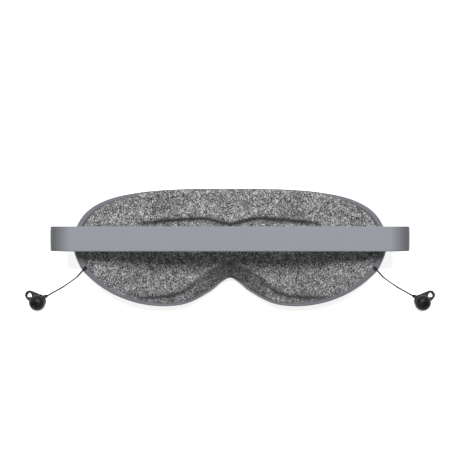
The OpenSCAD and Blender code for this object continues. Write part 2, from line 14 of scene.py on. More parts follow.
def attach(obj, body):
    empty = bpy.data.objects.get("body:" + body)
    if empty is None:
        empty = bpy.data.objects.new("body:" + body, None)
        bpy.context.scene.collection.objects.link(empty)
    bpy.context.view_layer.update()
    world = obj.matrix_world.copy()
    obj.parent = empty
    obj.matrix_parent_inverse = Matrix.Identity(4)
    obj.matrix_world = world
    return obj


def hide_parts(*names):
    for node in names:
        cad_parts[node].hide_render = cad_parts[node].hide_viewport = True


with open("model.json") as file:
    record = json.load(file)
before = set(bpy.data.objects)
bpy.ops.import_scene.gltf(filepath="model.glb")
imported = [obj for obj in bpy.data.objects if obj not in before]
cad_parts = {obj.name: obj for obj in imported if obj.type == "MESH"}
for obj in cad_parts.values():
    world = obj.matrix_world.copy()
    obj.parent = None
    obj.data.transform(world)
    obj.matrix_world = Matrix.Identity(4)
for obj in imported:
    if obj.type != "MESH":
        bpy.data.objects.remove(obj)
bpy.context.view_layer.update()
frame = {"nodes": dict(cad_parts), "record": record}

MM = 0.001
SIDES = (("left", -1), ("right", 1))

# ---- Sizes that the CAD part sets, in millimetres ----
COVER_R = 150.0          # bend of the front cover
COVER_C = 149.5          # height of that bend's axis
FACE_Z = 25.0            # the pad's height at the nose
FACE_R = 209.0           # bend of the pad's surface
FLOOR_Z = 14.0           # the frame under the pad
FLOOR_R = 180.0
EYE = (42.0, -8.0)       # centre of each eye hollow
EYE_R = 60.0
EYE_DEPTH = 7.0
FABRIC_T = 1.2
STRAP_W = 17.0
STRAP_T = 1.4
STRAP_Y = 7.0
STRAP_SAG = 2.0
CORD_D = 1.1
BUD = (143.8, -40.5)
BUD_R = 4.5
NOZZLE_LEAN = 20.0
LEAN_WAY = -57.0
NOZZLE_Z = 5.0
WING_WAY = 33.0
WING_REACH = 8.3
ANCHOR_PHI = 40.0
BAR_T = 2.6
BAR_R = 0.9

# Right half of the rim's outline, from the forehead round to the nose notch
RIM_HALF = [
    (0, 43.3), (36.2, 42.8), (65.4, 40.2), (88.5, 34.3), (103.6, 23.3), (110.3, 5.6),
    (106.1, -11.7), (98.2, -22), (86, -31.6), (72.2, -38.2), (58.2, -41.7), (43.8, -42.5),
    (29.2, -40.1), (14.6, -32.5), (7, -26.3), (0, -22.5),
]
# Right half of the seam between the rim and the pad
SEAM_HALF = [
    (0, 42.9), (36.2, 42.4), (65.3, 39.5), (86.8, 32.3), (99.9, 21.4), (105.9, 5),
    (103.2, -10.9), (96.8, -21.1), (85.1, -30.4), (71.5, -36.7), (57.7, -40.2), (43.6, -41),
    (29.7, -38.6), (15.4, -31.4), (7.6, -25.4), (0, -21.7),
]
# Creases in the pad, right half: under the brow, and round the nose and cheek
BROW_LINE = [(0, 16.3), (10.5, 18.9), (18, 20.4), (28.7, 20.3), (44.7, 19.1), (60.7, 17.1), (76, 14.2)]
CHEEK_LINE = [
    (0, -10.2), (9.4, -14.7), (18, -18.9), (25.4, -25.3), (31.9, -30.7), (41.5, -34.9),
    (54.3, -36), (66, -35.6), (80, -31),
]
# The right cord's route, as part.scad gives it
CORD_ROUTE = [
    (102.8, -14.9, 54.2), (104, -16.3, 54.6), (105.6, -18, 54.1), (107.4, -19.7, 51.6),
    (109.4, -21.1, 47), (111.5, -22.2, 40.6), (113.6, -23.2, 33), (115.8, -24.3, 24.8),
    (118.3, -25.6, 16.8), (121.3, -27.2, 9.8), (124.6, -29.1, 4.6), (128.1, -31.1, 1.6),
    (131.6, -33, 0.8), (134.8, -34.8, 1.3), (137.6, -36.4, 2.1),
]


# ---- Numbers ----
def spline(points, steps):
    """A smooth run of points through the given ones."""
    p = np.array(points, float)
    padded = np.vstack([2 * p[0] - p[1], p, 2 * p[-1] - p[-2]])
    t = np.linspace(0, 1, steps, endpoint=False)[:, None]
    runs = []
    for a, b, c, d in zip(padded, padded[1:], padded[2:], padded[3:]):
        runs.append(0.5 * (2 * b + (c - a) * t + (2 * a - 5 * b + 4 * c - d) * t**2
                           + (3 * b - a - 3 * c + d) * t**3))
    return np.vstack([*runs, p[-1:]])


def mirrored_half(points, steps=40):
    """The smooth right half of a symmetric outline, level where it meets the middle."""
    whole = spline([(-points[1][0], points[1][1]), *points, (-points[-2][0], points[-2][1])], steps)
    return whole[steps:-steps]


def smoothstep(a, b, v):
    """0 at a, 1 at b, level at both; a may be above b."""
    t = np.clip((v - a) / (b - a), 0, 1)
    return t * t * (3 - 2 * t)


def resample(points, spacing):
    """Points along the same line, evenly spaced by about that much."""
    p = np.array(points, float)
    along = np.concatenate([[0], np.cumsum(np.linalg.norm(np.diff(p, axis=0), axis=1))])
    n = max(2, int(round(along[-1] / spacing)) + 1)
    at = np.linspace(0, along[-1], n)
    return np.stack([np.interp(at, along, p[:, i]) for i in range(p.shape[1])], 1)


class Outline:
    """A symmetric closed outline, read at an angle: 0 at the top, 90 degrees at the right end."""

    def __init__(self, half):
        run = mirrored_half(half)
        end = int(run[:, 0].argmax())
        self.reach = float(run[end, 0])
        self.top = run[: end + 1]
        self.bottom = run[end:][::-1]

    def at(self, angles):
        x = self.reach * np.sin(angles)
        ax = np.abs(x)
        upper = np.interp(ax, self.top[:, 0], self.top[:, 1])
        lower = np.interp(ax, self.bottom[:, 0], self.bottom[:, 1])
        return np.stack([x, np.where(np.cos(angles) >= 0, upper, lower)], 1)

    def spans(self, x):
        """The lowest and highest y at each x."""
        ax = np.minimum(np.abs(x), self.reach)
        return (np.interp(ax, self.bottom[:, 0], self.bottom[:, 1]),
                np.interp(ax, self.top[:, 0], self.top[:, 1]))


def distance_to(points, line):
    """Distance from each point to a dense line."""
    best = np.full(len(points), 1e9)
    for a, b in zip(line, line[1:]):
        d = b - a
        t = np.clip(((points - a) @ d) / max(d @ d, 1e-12), 0, 1)
        best = np.minimum(best, np.linalg.norm(points - (a + t[:, None] * d), axis=1))
    return best


# ---- Meshes ----
def linked(name, data):
    """A new object in the scene."""
    obj = bpy.data.objects.new(name, data)
    bpy.context.scene.collection.objects.link(obj)
    return obj


def add_mesh(name, points, faces, smooth=True):
    """A mesh object from points in millimetres."""
    mesh = bpy.data.meshes.new(name)
    mesh.from_pydata((np.array(points, float) * MM).tolist(), [], faces)
    mesh.validate()
    mesh.update()
    if smooth:
        mesh.polygons.foreach_set("use_smooth", [True] * len(mesh.polygons))
    return linked(name, mesh)


def grid_faces(rows, cols, wrap_rows=False, wrap_cols=False):
    """Quads over a grid of points stored row by row."""
    faces = []
    for r in range(rows if wrap_rows else rows - 1):
        for c in range(cols if wrap_cols else cols - 1):
            r2, c2 = (r + 1) % rows, (c + 1) % cols
            faces.append((r * cols + c, r * cols + c2, r2 * cols + c2, r2 * cols + c))
    return faces


def outward(obj, weld=1e-6):
    """Welds doubled vertices of a closed mesh and points every face outwards."""
    bm = bmesh.new()
    bm.from_mesh(obj.data)
    bmesh.ops.remove_doubles(bm, verts=bm.verts, dist=weld)
    bmesh.ops.recalc_face_normals(bm, faces=bm.faces)
    bm.to_mesh(obj.data)
    bm.free()
    return obj


def joined(name, pieces):
    """One object out of several."""
    bm = bmesh.new()
    for piece in pieces:
        bm.from_mesh(piece.data)
        bpy.data.meshes.remove(piece.data)
    mesh = bpy.data.meshes.new(name)
    bm.to_mesh(mesh)
    bm.free()
    return linked(name, mesh)


def out_of(path):
    """Unit directions square to a line in the XZ plane."""
    t = np.gradient(path, axis=0)
    t /= np.linalg.norm(t, axis=1)[:, None]
    return np.stack([-t[:, 1], t[:, 0]], 1)


def frames_along(path):
    """Two steady side directions along a line."""
    p = np.array(path, float)
    t = np.gradient(p, axis=0)
    t /= np.linalg.norm(t, axis=1)[:, None]
    side = np.cross(t[0], (0.0, 0.0, 1.0))
    if np.linalg.norm(side) < 0.2:
        side = np.cross(t[0], (0.0, 1.0, 0.0))
    sides = []
    for tangent in t:
        side = side - (side @ tangent) * tangent
        side = side / np.linalg.norm(side)
        sides.append(side.copy())
    sides = np.array(sides)
    return sides, np.cross(t, sides)


def tube(name, path, radius, around):
    """A closed tube along a line."""
    p = np.array(path, float)
    side, up = frames_along(p)
    a = np.linspace(0, 2 * math.pi, around, endpoint=False)
    rings = (p[:, None] + radius * (np.cos(a)[None, :, None] * side[:, None]
                                   + np.sin(a)[None, :, None] * up[:, None]))
    points = np.vstack([rings.reshape(-1, 3), p[:1], p[-1:]])
    faces = grid_faces(len(p), around, wrap_cols=True)
    first, last = len(p) * around, len(p) * around + 1
    base = (len(p) - 1) * around
    for k in range(around):
        faces.append((first, (k + 1) % around, k))
        faces.append((last, base + k, base + (k + 1) % around))
    return outward(add_mesh(name, points, faces))


def revolve(name, profile, place, around=64):
    """A closed profile of (radius, height) turned about the local Z axis, then put in place."""
    prof = np.array(profile, float)
    a = np.linspace(0, 2 * math.pi, around, endpoint=False)
    rings = np.stack([np.outer(prof[:, 0], np.cos(a)), np.outer(prof[:, 0], np.sin(a)),
                      np.repeat(prof[:, 1:2], around, 1)], 2)
    points = rings.reshape(-1, 3)
    faces = grid_faces(len(prof), around, wrap_rows=True, wrap_cols=True)
    return outward(add_mesh(name, [place @ Vector(p) for p in points], faces))


def rounded_profile(corners, radius):
    """A closed profile with its corners rounded by an arc-like curve."""
    p = np.array(corners, float)
    n = len(p)
    out = []
    for i in range(n):
        before, here, after = p[i - 1], p[i], p[(i + 1) % n]
        r = radius[i] if hasattr(radius, "__len__") else radius
        ra = min(r, np.linalg.norm(before - here) / 2.01)
        rb = min(r, np.linalg.norm(after - here) / 2.01)
        a = here + (before - here) / np.linalg.norm(before - here) * ra
        b = here + (after - here) / np.linalg.norm(after - here) * rb
        for t in np.linspace(0, 1, 5):
            out.append((1 - t) ** 2 * a + 2 * t * (1 - t) * here + t * t * b)
    return np.array(out)


def mirror_place(k):
    """Puts a right-hand shape on side k."""
    return Matrix.Diagonal((k, 1, 1, 1))


# ---- Materials ----
class Paint:
    """A material whose nodes are added by short calls."""

    def __init__(self, name, roughness=0.5, **sockets):
        self.mat = bpy.data.materials.new(name)
        self.mat.use_nodes = True
        self.tree = self.mat.node_tree
        self.shader = self.tree.nodes["Principled BSDF"]
        self.shader.inputs["Roughness"].default_value = roughness
        for key, value in sockets.items():
            self.shader.inputs[key.replace("_", " ")].default_value = value
        self.place = self.tree.nodes.new("ShaderNodeTexCoord").outputs["Object"]

    def node(self, kind, *links, **values):
        """A node with its links, socket values and settings."""
        made = self.tree.nodes.new("ShaderNode" + kind)
        for key, value in values.items():
            if key in made.inputs:
                made.inputs[key].default_value = value
            else:
                setattr(made, key, value)
        for source, socket in links:
            self.tree.links.new(source, made.inputs[socket])
        return made

    def mapped(self, scale):
        """Coordinates scaled by an amount for each axis."""
        return self.node("Mapping", (self.place, "Vector"), Scale=scale).outputs[0]

    def streaks(self, turn, length):
        """Coordinates that stretch a texture by length along the direction turn in the XY plane."""
        made = self.node("Mapping", (self.place, "Vector"), vector_type="TEXTURE",
                         Rotation=(0, 0, math.radians(turn)), Scale=(length, 1, 1))
        return made.outputs[0]

    def noise(self, scale, detail=2.0, roughness=0.5, vector=None):
        made = self.node("TexNoise", (vector or self.place, "Vector"), Scale=scale, Detail=detail,
                         Roughness=roughness)
        return made.outputs["Fac"]

    def ramp(self, fac, stops, smooth=False):
        made = self.node("ValToRGB", (fac, "Fac"))
        made.color_ramp.interpolation = "EASE" if smooth else "LINEAR"
        cells = made.color_ramp.elements
        while len(cells) < len(stops):
            cells.new(0.5)
        for cell, (at, value) in zip(cells, stops):
            cell.position = at
            grey = (value, value, value)
            cell.color = (*(value if hasattr(value, "__len__") else grey), 1)
        return made.outputs["Color"]

    def math(self, kind, a, b):
        made = self.node("Math", operation=kind)
        for i, source in enumerate((a, b)):
            if isinstance(source, (int, float)):
                made.inputs[i].default_value = source
            else:
                self.tree.links.new(source, made.inputs[i])
        return made.outputs[0]

    def towards(self, fac, source, goal):
        """The source colour, mixed towards a fixed one."""
        made = self.node("MixRGB", (fac, "Fac"), (source, "Color1"), Color2=(*goal, 1))
        return made.outputs[0]

    def rise(self, source, start, end, top):
        """0 up to start, climbing evenly to top at end."""
        limits = {"From Min": start, "From Max": end, "To Max": top}
        return self.node("MapRange", (source, "Value"), **limits).outputs[0]

    def colour(self, source):
        self.tree.links.new(source, self.shader.inputs["Base Color"])
        return self

    def rough(self, source):
        self.tree.links.new(source, self.shader.inputs["Roughness"])
        return self

    def bump(self, height, depth, strength=1.0):
        made = self.node("Bump", (height, "Height"), Distance=depth * MM, Strength=strength)
        self.tree.links.new(made.outputs[0], self.shader.inputs["Normal"])
        return self


def heather_knit():
    """Salt-and-pepper knit: short light and dark fibres, criss-crossing, on mid grey."""
    p = Paint("heather_knit", 0.95, Sheen_Weight=0.1, Sheen_Roughness=0.5, Specular_IOR_Level=0.1)
    fibres = [p.noise(1750, 1.5, 0.6, p.streaks(turn, 2.6)) for turn in (38, -34, 84)]
    grain = p.math("MULTIPLY", p.math("ADD", p.math("ADD", fibres[0], fibres[1]), fibres[2]), 0.3333)
    blotch = p.noise(230, 2.0, 0.5)
    fleck = p.math("ADD", grain, p.math("MULTIPLY", p.math("SUBTRACT", blotch, 0.5), 0.14))
    plain = p.ramp(fleck, [(0.39, (0.012, 0.012, 0.013)), (0.5, (0.155, 0.155, 0.157)),
                           (0.61, (0.64, 0.64, 0.645))])
    # Painted shade: a vertex value darkens the knit to near black in its creases, over the nose flaps,
    # along the seam and towards the bottom
    painted_shade = p.node("Attribute", attribute_name="painted_shade").outputs["Fac"]
    p.colour(p.towards(painted_shade, plain, (0.006, 0.006, 0.007)))
    return p.bump(fleck, 0.6, 0.7).mat


def cover_leather():
    """Smooth soft-touch leather with a fine pebble."""
    p = Paint("cover_leather", 0.5, Specular_IOR_Level=0.35, Sheen_Weight=0.08)
    cell = p.node("TexVoronoi", (p.place, "Vector"), Scale=1400.0, feature="SMOOTH_F1").outputs["Distance"]
    pores = p.noise(2600, 2.0)
    shade = p.noise(28, 3.0)
    p.colour(p.ramp(shade, [(0.3, (0.148, 0.155, 0.174)), (0.7, (0.170, 0.178, 0.200))], True))
    p.rough(p.ramp(p.noise(900, 2.0), [(0.35, 0.44), (0.65, 0.58)]))
    return p.bump(p.math("ADD", cell, p.math("MULTIPLY", pores, 0.3)), 0.06, 0.5).mat


def elastic_webbing():
    """Woven elastic: fine ribs across the strap, threads along it."""
    p = Paint("elastic_webbing", 0.82, Sheen_Weight=0.2, Sheen_Roughness=0.45, Specular_IOR_Level=0.25)
    across = p.node("TexWave", (p.place, "Vector"), Scale=218.0, Distortion=0.5, bands_direction="X",
                    **{"Detail Scale": 900.0})
    along = p.node("TexWave", (p.place, "Vector"), Scale=520.0, Distortion=0.3, bands_direction="Y")
    weave = p.math("MULTIPLY", across.outputs["Fac"], along.outputs["Fac"])
    fuzz = p.noise(1800, 2.0)
    both = p.math("ADD", p.math("MULTIPLY", weave, 0.7), p.math("MULTIPLY", fuzz, 0.3))
    plain = p.ramp(both, [(0.1, (0.228, 0.238, 0.263)), (0.7, (0.280, 0.292, 0.322))])
    # Painted shade: the webbing is darkened towards its turns, high up at both ends, where it curves away
    # from the light
    spot = p.node("SeparateXYZ", (p.place, "Vector")).outputs
    ends = p.rise(p.math("ABSOLUTE", spot["X"], 0.0), 0.108, 0.121, 0.6)
    high = p.rise(spot["Z"], 0.045, 0.07, 1.0)
    p.colour(p.towards(p.math("MULTIPLY", ends, high), plain, (0.012, 0.013, 0.015)))
    return p.bump(both, 0.12, 0.5).mat


def pile(name, colour, depth):
    """Hook or loop tape: a dense short pile."""
    p = Paint(name, 0.95, Sheen_Weight=0.3)
    tuft = p.node("TexVoronoi", (p.place, "Vector"), Scale=1500.0).outputs["Distance"]
    light = tuple(min(1, c * 1.9) for c in colour)
    p.colour(p.ramp(tuft, [(0.0, light), (0.7, colour)]))
    return p.bump(tuft, depth, 0.9).mat


def satin_rubber(name, colour, roughness):
    """Soft silicone or rubber with a faint bloom."""
    p = Paint(name, roughness, Specular_IOR_Level=0.25)
    bloom = p.noise(220, 3.0)
    lift = tuple(c * 1.5 + 0.004 for c in colour)
    p.colour(p.ramp(bloom, [(0.35, colour), (0.75, lift)], True))
    p.rough(p.ramp(p.noise(600, 2.0), [(0.3, roughness - 0.06), (0.7, roughness + 0.1)]))
    return p.bump(p.noise(2200, 2.0), 0.02, 0.4).mat


def moulded(name, colour, roughness=0.55, grain=1600.0, depth=0.03):
    """Moulded plastic with a spark-eroded texture."""
    p = Paint(name, roughness)
    tone = p.noise(60, 2.0)
    lift = tuple(min(1, c * 1.18) for c in colour)
    p.colour(p.ramp(tone, [(0.3, colour), (0.7, lift)], True))
    p.rough(p.ramp(p.noise(700, 2.0), [(0.3, roughness - 0.06), (0.7, roughness + 0.08)]))
    return p.bump(p.noise(grain, 3.0), depth, 0.4).mat


def metal(name, colour, roughness=0.32, brushed=(1, 1, 1)):
    """Plated or brushed metal with fine scratches along one direction."""
    p = Paint(name, roughness, Metallic=1.0)
    scratch = p.noise(1200, 3.0, 0.6, p.mapped(brushed))
    low = tuple(c * 0.86 for c in colour)
    p.colour(p.ramp(scratch, [(0.3, low), (0.7, colour)]))
    p.rough(p.ramp(scratch, [(0.3, roughness - 0.08), (0.7, roughness + 0.12)]))
    return p.bump(scratch, 0.01, 0.3).mat


def foam():
    """Open-cell cushion foam."""
    p = Paint("open_foam", 0.95)
    cell = p.node("TexVoronoi", (p.place, "Vector"), Scale=900.0).outputs["Distance"]
    p.colour(p.ramp(cell, [(0.0, (0.55, 0.52, 0.44)), (0.6, (0.86, 0.83, 0.74))]))
    return p.bump(cell, 0.4, 0.8).mat


def circuit():
    """Solder mask over copper tracks."""
    p = Paint("solder_mask", 0.35, Coat_Weight=0.3)
    tracks = p.node("TexBrick", (p.place, "Vector"), Scale=420.0, Color1=(0.012, 0.11, 0.05, 1),
                    Color2=(0.016, 0.15, 0.065, 1), Mortar=(0.03, 0.24, 0.10, 1), **{"Mortar Size": 0.03})
    p.colour(tracks.outputs["Color"])
    return p.bump(tracks.outputs["Fac"], 0.03, 0.4).mat


def etched_film():
    """Heater film with its etched element."""
    p = Paint("heater_film", 0.3, Coat_Weight=0.5)
    wave = p.node("TexWave", (p.place, "Vector"), Scale=150.0, bands_direction="Y").outputs["Fac"]
    p.colour(p.ramp(wave, [(0.45, (0.42, 0.20, 0.04)), (0.55, (0.62, 0.36, 0.12))]))
    return p.bump(wave, 0.03, 0.4).mat


def light_pipe():
    """Milky clear plastic."""
    p = Paint("light_pipe", 0.3, Transmission_Weight=0.4)
    p.colour(p.ramp(p.noise(500, 2.0), [(0.3, (0.72, 0.82, 0.76)), (0.7, (0.86, 0.93, 0.88))]))
    return p.bump(p.noise(1500, 2.0), 0.02, 0.3).mat


# ---- Camera, light and floor ----
CAMERA_HEIGHT = 750.0
CAMERA_Y = 13.0
SENSOR = 36.0
FIELD = 463.8            # width of the table that the picture takes in from a metre, in millimetres
SKY = 0.25               # even light from all round
KEY_PLACE = (0, 0.50, 2.0)
KEY_AIM = (0, 0, 0.03)
KEY_SIZE = 0.34
KEY_POWER = 41.0
TABLE_Z = -0.2           # just under the cover, which rests at 0
TABLE_REACH = 15000
TABLE_GLOW = 0.74        # lifts the table towards the picture's white ground


def make_camera():
    data = bpy.data.cameras.new("camera")
    data.sensor_width = SENSOR
    data.lens = SENSOR * 1000 / FIELD
    cam = linked("camera", data)
    cam.location = (0, CAMERA_Y * MM, CAMERA_HEIGHT * MM)
    bpy.context.scene.camera = cam


def make_key_light():
    data = bpy.data.lights.new("key", "AREA")
    data.shape = "RECTANGLE"
    data.size = data.size_y = KEY_SIZE
    data.energy = KEY_POWER
    lamp = linked("key", data)
    lamp.location = KEY_PLACE
    lamp.rotation_mode = "QUATERNION"
    lamp.rotation_quaternion = (Vector(KEY_AIM) - Vector(KEY_PLACE)).to_track_quat("-Z", "Y")


def make_studio():
    scene = bpy.context.scene
    scene.view_settings.view_transform = "Standard"
    world = bpy.data.worlds.new("studio")
    world.use_nodes = True
    sky = world.node_tree.nodes["Background"].inputs
    sky["Color"].default_value = (1, 1, 1, 1)
    sky["Strength"].default_value = SKY
    scene.world = world
    make_key_light()
    corners = [(x * TABLE_REACH, y * TABLE_REACH, TABLE_Z)
               for x, y in ((-1, -1), (1, -1), (1, 1), (-1, 1))]
    floor = add_mesh("floor", corners, [(0, 1, 2, 3)], smooth=False)
    p = Paint("lit_table", 0.9, Specular_IOR_Level=0.1, Emission_Strength=TABLE_GLOW)
    p.shader.inputs["Emission Color"].default_value = (1, 1, 1, 1)
    p.colour(p.ramp(p.noise(3, 2.0), [(0.3, 0.82), (0.7, 0.86)]))
    floor.data.materials.append(p.mat)
    floor.visible_diffuse = False  # the picture's white ground throws no light back on the sides


# ---- The pad ----
def face_height(x):
    """The pad's bend, before hollows and creases."""
    return FACE_Z + FACE_R - np.sqrt(FACE_R**2 - np.square(x))


def floor_height(x):
    """The frame under the pad."""
    return FLOOR_Z + FLOOR_R - np.sqrt(FLOOR_R**2 - np.square(x))


def cover_height(x):
    """The front cover's bend."""
    return np.maximum(0, COVER_C - np.sqrt(COVER_R**2 - np.square(x)))


def soft_min(a, b, k):
    """The lower of two heights, blended over about k."""
    return -k * np.log(np.exp(-a / k) + np.exp(-b / k))


NOSE_DROP = 8.6          # how far the nose flap falls from its crest to the seam
SKIN_T = 1.1             # thickness of the leather
EDGE_TURN = 1.8          # radius of the knit's turn into the seam
HEM = 3.0                # how far the knit hangs at its edge, to hide the foam
FOAM_INSET = 1.3         # how far the foam stays inside the seam
BROW_RISE = 2.8          # the band over the brow crease
BROW_CUT = 2.8           # the brow crease itself
DIP_DEPTH = 2.2          # the soft fold above each brow
CREST_RISE = 1.8         # the swell inside the cheek crease
CHEEK_STEP = 1.6         # the fall to the band at the edge
CHEEK_CUT = 1.2          # the cheek crease itself

rim = Outline(RIM_HALF)
seam = Outline(SEAM_HALF)


def over_brow(ax, y):
    """Height above the brow crease."""
    brow = spline(BROW_LINE, 12)
    return y - np.interp(ax, brow[:, 0], brow[:, 1])


def past_cheek(ax, y):
    """Distance outside the cheek crease, negative inside it."""
    cheek = spline(CHEEK_LINE, 12)
    off = distance_to(np.stack([ax, y], 1), cheek)
    return np.where(y < np.interp(ax, cheek[:, 0], cheek[:, 1]), off, -off)


def from_seam(x, y):
    """Distance to the right half of the seam."""
    return distance_to(np.stack([x, y], 1), mirrored_half(SEAM_HALF, 12))


def bell(v, middle, width):
    """1 at the middle, falling off smoothly on both sides."""
    return np.exp(-np.square((v - middle) / width))


def nose_share(x):
    """How much of the nose flap's drop applies at x."""
    return 1 - smoothstep(18, 37, np.abs(x))


def pad_relief(x, y):
    """The pad's height over (x, y): face bend, eye hollows, brow and cheek creases, nose flaps, edge."""
    ax = np.abs(x)
    lean = math.asin(EYE[0] / FACE_R)
    centre_x = EYE[0] - (EYE_R - EYE_DEPTH) * math.sin(lean)
    centre_z = face_height(EYE[0]) + (EYE_R - EYE_DEPTH) * math.cos(lean)
    r2 = np.square(ax - centre_x) + np.square(y - EYE[1])
    ball = centre_z - np.sqrt(np.maximum(EYE_R**2 - r2, 1))
    z = soft_min(face_height(x), ball, 0.9)
    # Brow: a raised band over a sharp crease
    over = over_brow(ax, y)
    fade = 1 - smoothstep(52, 74, ax)
    z += fade * (BROW_RISE * smoothstep(-0.8, 2.4, over) - BROW_CUT * bell(over, -0.2, 1.5))
    z += 0.7 * bell(ax, 0, 24) * smoothstep(2, 10, over) * smoothstep(32, 20, over)
    z -= DIP_DEPTH * bell(ax, 47, 7) * smoothstep(0, 8, over) * smoothstep(25, 14, over)
    # Cheek and nose: a crest, a crease outside it, then the edge band or the nose flap
    off = past_cheek(ax, y)
    fade = 1 - smoothstep(60, 82, ax)
    nose = nose_share(x)
    z += fade * CREST_RISE * bell(off, -2.8, 3.0)
    z -= fade * (1 - nose) * (CHEEK_STEP * smoothstep(-1.2, 1.6, off) + CHEEK_CUT * bell(off, 0.9, 1.4))
    z -= nose * NOSE_DROP * np.clip((off + 1.5) / 10.5, 0, 1) ** 1.15
    # Edge: the knit turns down into the seam
    near = np.clip(EDGE_TURN - from_seam(ax, y), 0, EDGE_TURN)
    z -= EDGE_TURN - np.sqrt(np.maximum(EDGE_TURN**2 - near**2, 0))
    return z


def painted_knit_shade(x, y):
    """Painted shade on the knit, from 0 to 1: in the brow and cheek creases, the dips above the brows, over
    the nose flap, along the seam and towards the bottom.
    """
    ax = np.abs(x)
    over = over_brow(ax, y)
    off = past_cheek(ax, y)
    nose = nose_share(x)
    # Painted shade in the brow crease, in the dips above the brows, over the nose flap and in the band by
    # the cheek crease
    crease = 0.72 * (1 - smoothstep(50, 72, ax)) * bell(over, 0.4, 1.6)
    dip = 0.22 * bell(ax, 46, 7) * smoothstep(0, 5, over) * smoothstep(24, 13, over)
    flap = 0.49 * nose * smoothstep(-1.6, 0.8, off)
    band = 0.5 * (1 - nose) * (1 - smoothstep(56, 76, ax)) * bell(off, -0.3, 2.7)
    # A thin line of painted shade at the seam, along the right half only
    edge = 0.4 * smoothstep(8, -8, y) * bell(from_seam(x, y), 0, 0.9)
    low = 0.13 * (1 - nose) * smoothstep(-12, -22, y)
    return np.clip(crease + dip + flap + band + edge + low, 0, 0.8)


def pad_solid(name, top_drop, under, cols, rows, inset=0.0, hem=0.0):
    """A closed slab under the pad's relief; under gives its underside, and a hem hangs at its edge."""
    phi = np.linspace(-math.pi / 2, math.pi / 2, cols)
    v = np.linspace(0, 1, rows)
    v = 0.35 * v + 0.65 * (1 - np.cos(math.pi * v)) / 2
    x = (seam.reach - inset) * np.sin(phi)
    low, high = seam.spans(x)
    low, high = low + inset, high - inset
    gx = np.repeat(x[:, None], rows, 1)
    gy = low[:, None] + (high - low)[:, None] * v[None]
    top = pad_relief(gx.ravel(), gy.ravel()).reshape(cols, rows) - top_drop
    bottom = np.minimum(under(gx, top), top - 0.4)
    bottom[:, [0, -1]] -= hem
    bottom[[0, -1], 1:-1] -= hem
    upper = np.stack([gx, gy, top], 2).reshape(-1, 3)
    lower = np.stack([gx, gy, bottom], 2).reshape(-1, 3)
    faces = grid_faces(cols, rows)
    n = cols * rows
    faces += [tuple(i + n for i in reversed(f)) for f in grid_faces(cols, rows)]
    ring = [c * rows for c in range(cols)] + [(cols - 1) * rows + r for r in range(1, rows)]
    ring += [c * rows + rows - 1 for c in range(cols - 2, -1, -1)] + [r for r in range(rows - 2, 0, -1)]
    for a, b in zip(ring, ring[1:] + ring[:1]):
        faces.append((a, b, b + n, a + n))
    obj = add_mesh(name, np.vstack([upper, lower]), faces)
    return outward(obj)


def shade_knit(knit):
    """Stores the knit's painted shade at each vertex, for its material."""
    spots = np.empty(len(knit.data.vertices) * 3)
    knit.data.vertices.foreach_get("co", spots)
    spots = spots.reshape(-1, 3) / MM
    painted_shade = knit.data.attributes.new("painted_shade", "FLOAT", "POINT")
    painted_shade.data.foreach_set("value", painted_knit_shade(spots[:, 0], spots[:, 1]))


def make_pad():
    knit = pad_solid("knit_pad", 0, lambda x, top: top - FABRIC_T, 321, 155, hem=HEM)
    core = pad_solid("foam_core", FABRIC_T + 0.3, lambda x, top: floor_height(x) + 0.05, 241, 121,
                     inset=FOAM_INSET)
    shade_knit(knit)
    for obj, mat, node, slot in ((knit, heather_knit(), "face_fabric", "face_knit"),
                                 (core, foam(), "foam_pad", "pad_foam")):
        obj.data.materials.append(mat)
        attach(obj, "mask")
        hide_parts(node)


# ---- The cover ----
def normals_of(loop):
    """Outward directions along a closed loop that runs clockwise seen from above."""
    along = np.roll(loop, -1, 0) - np.roll(loop, 1, 0)
    along /= np.linalg.norm(along, axis=1)[:, None]
    return np.stack([-along[:, 1], along[:, 0]], 1)


def cover_shell():
    """Rolled rim, wall, rounded front edge and front, as one skin, ring by ring."""
    count = 480
    angles = np.linspace(-math.pi, math.pi, count, endpoint=False)
    outer = rim.at(angles)
    inner = seam.at(angles)
    n = normals_of(outer)
    width = np.linalg.norm(outer - inner, axis=1)
    notch = np.where(np.cos(angles) < 0, nose_share(outer[:, 0]), 0)
    face = face_height(outer[:, 0]) - notch * (NOSE_DROP + 0.6)
    front = cover_height(outer[:, 0])
    roll = np.clip(width * 0.75, 0.9, 2.4)
    rings = []

    def ring(out, z):
        xy = outer + n * np.asarray(out).reshape(-1, 1)
        rings.append(np.column_stack([xy, z]))

    # Out of the seam and over the roll; the roll is as wide as the band between seam and outline
    for share, rise in ((1.1, -2.6), (1.05, -1.8), (0.98, -1.0), (0.88, -0.4), (0.72, -0.08), (0.55, 0.0),
                        (0.38, -0.1), (0.22, -0.32), (0.1, -0.62), (0.02, -1.0)):
        ring(-share * width, face + rise * roll)
    depth = face - front
    for share in (0.2, 0.3, 0.4, 0.5, 0.6, 0.7):
        ring(np.full(count, 0.15 * math.sin(math.pi * share)), face - np.maximum(1.2 * roll, share * depth))
    edge = np.minimum(3.4, 0.3 * depth)
    rings += edge_rings(outer, n, 0, edge, np.linspace(15, 90, 8))
    rings += front_rings(rings[-1][:, :2], angles, 0)
    # The skin's inside, back from the middle line to where it is tucked under the pad
    inside = edge_rings(outer, n, SKIN_T, np.maximum(edge - SKIN_T, 0.2), np.linspace(0, 90, 4))
    inside += front_rings(inside[-1][:, :2], angles, SKIN_T)
    tuck = rings[0]
    turn = outer - n * np.maximum(SKIN_T, 0.6 * width)[:, None]
    inside = [np.column_stack([turn, tuck[:, 2] - 0.6]),
              np.column_stack([outer - n * SKIN_T, tuck[:, 2] - 1.6])] + inside
    rings = inside[::-1] + rings
    return add_mesh("leather_cover", np.vstack(rings), grid_faces(len(rings), count, wrap_cols=True))


